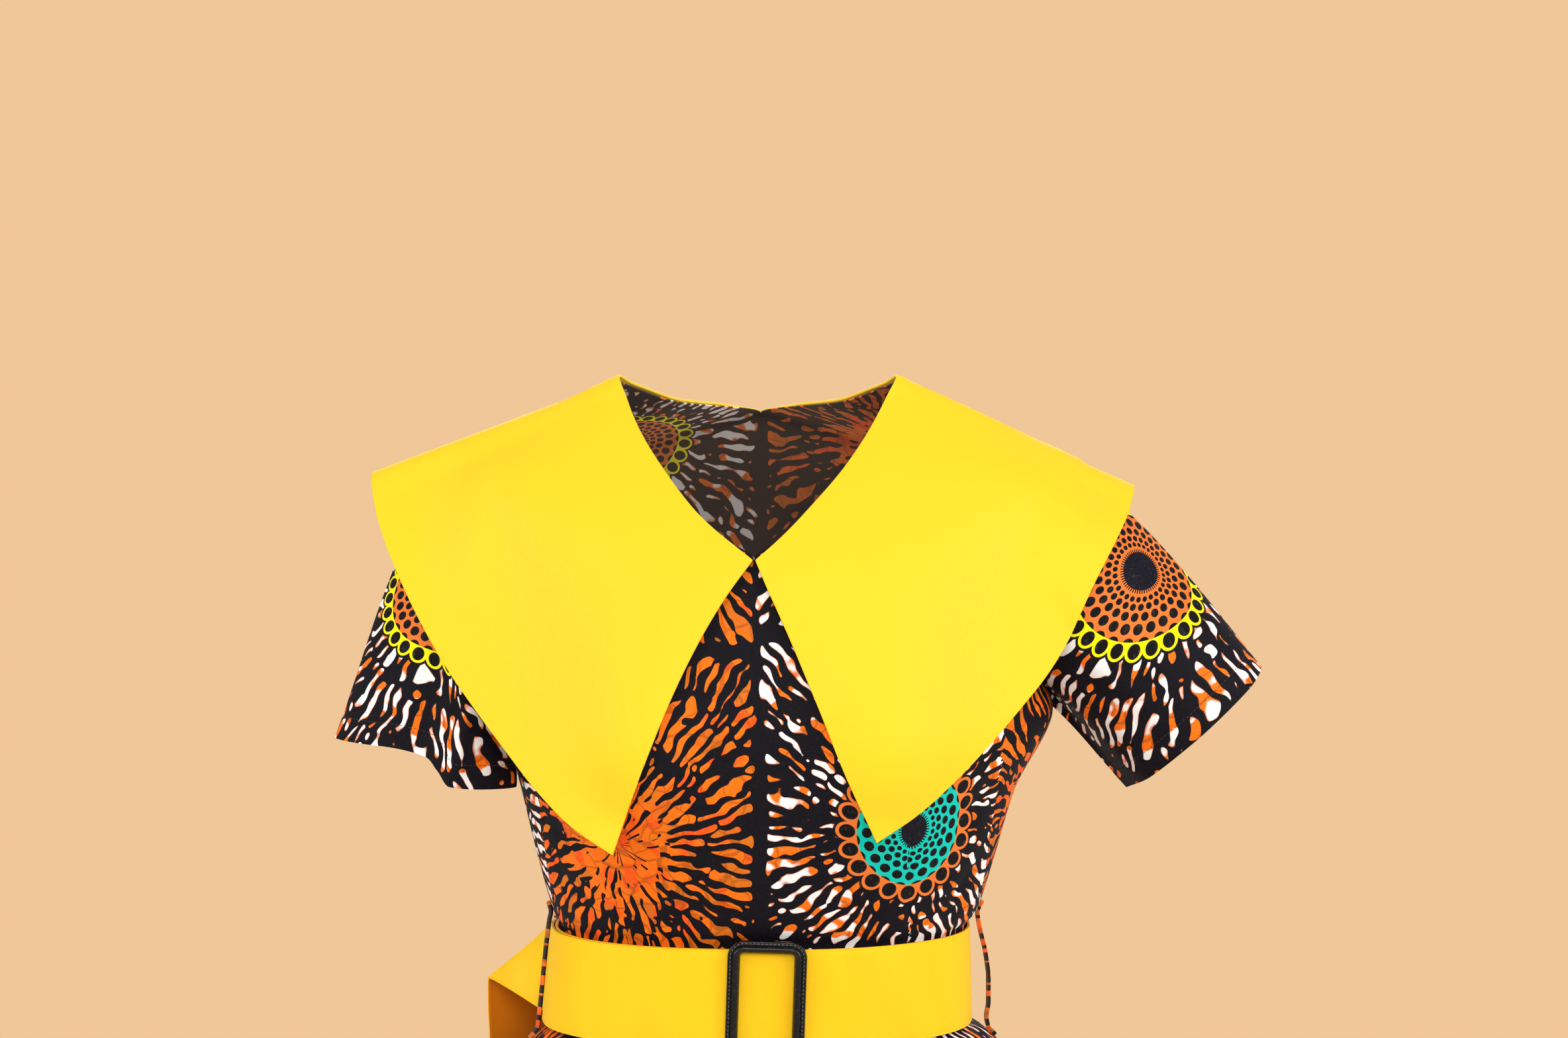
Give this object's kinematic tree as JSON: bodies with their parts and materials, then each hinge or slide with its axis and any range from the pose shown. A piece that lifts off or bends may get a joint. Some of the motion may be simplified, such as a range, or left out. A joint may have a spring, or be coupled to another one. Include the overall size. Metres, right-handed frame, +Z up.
{
  "type": "wax print dress",
  "caption": "Wax print dress with a wide pointed collar, short sleeves, flared skirt and a wide belt with a slide buckle, holding the shape of a wearer.",
  "frame": {"origin": "midway between the two neck points of the shoulder seams, where the wearer's shoulders hold the dress", "axes": "+Z up, the front faces -Y, +X is to the viewer's right"},
  "size_m": [0.6316, 0.5222, 1.0047],
  "materials": {
    "print": "orange and black wax print cotton",
    "collar": "plain yellow cotton, two layers",
    "belt": "plain yellow cotton over stiffening",
    "buckle": "glossy black, covered",
    "carrier": "folded strip of the print"
  },
  "bodies": {
    "root": {"bodice_front": "print", "bodice_back_left": "print", "bodice_back_right": "print", "sleeve_left": "print", "sleeve_right": "print", "skirt_front": "print", "skirt_back": "print", "collar_left": "collar", "collar_right": "collar", "belt_band": "belt", "belt_tail": "belt", "belt_buckle": "buckle", "carrier_left": "carrier", "carrier_right": "carrier"}
  },
  "joints": []
}
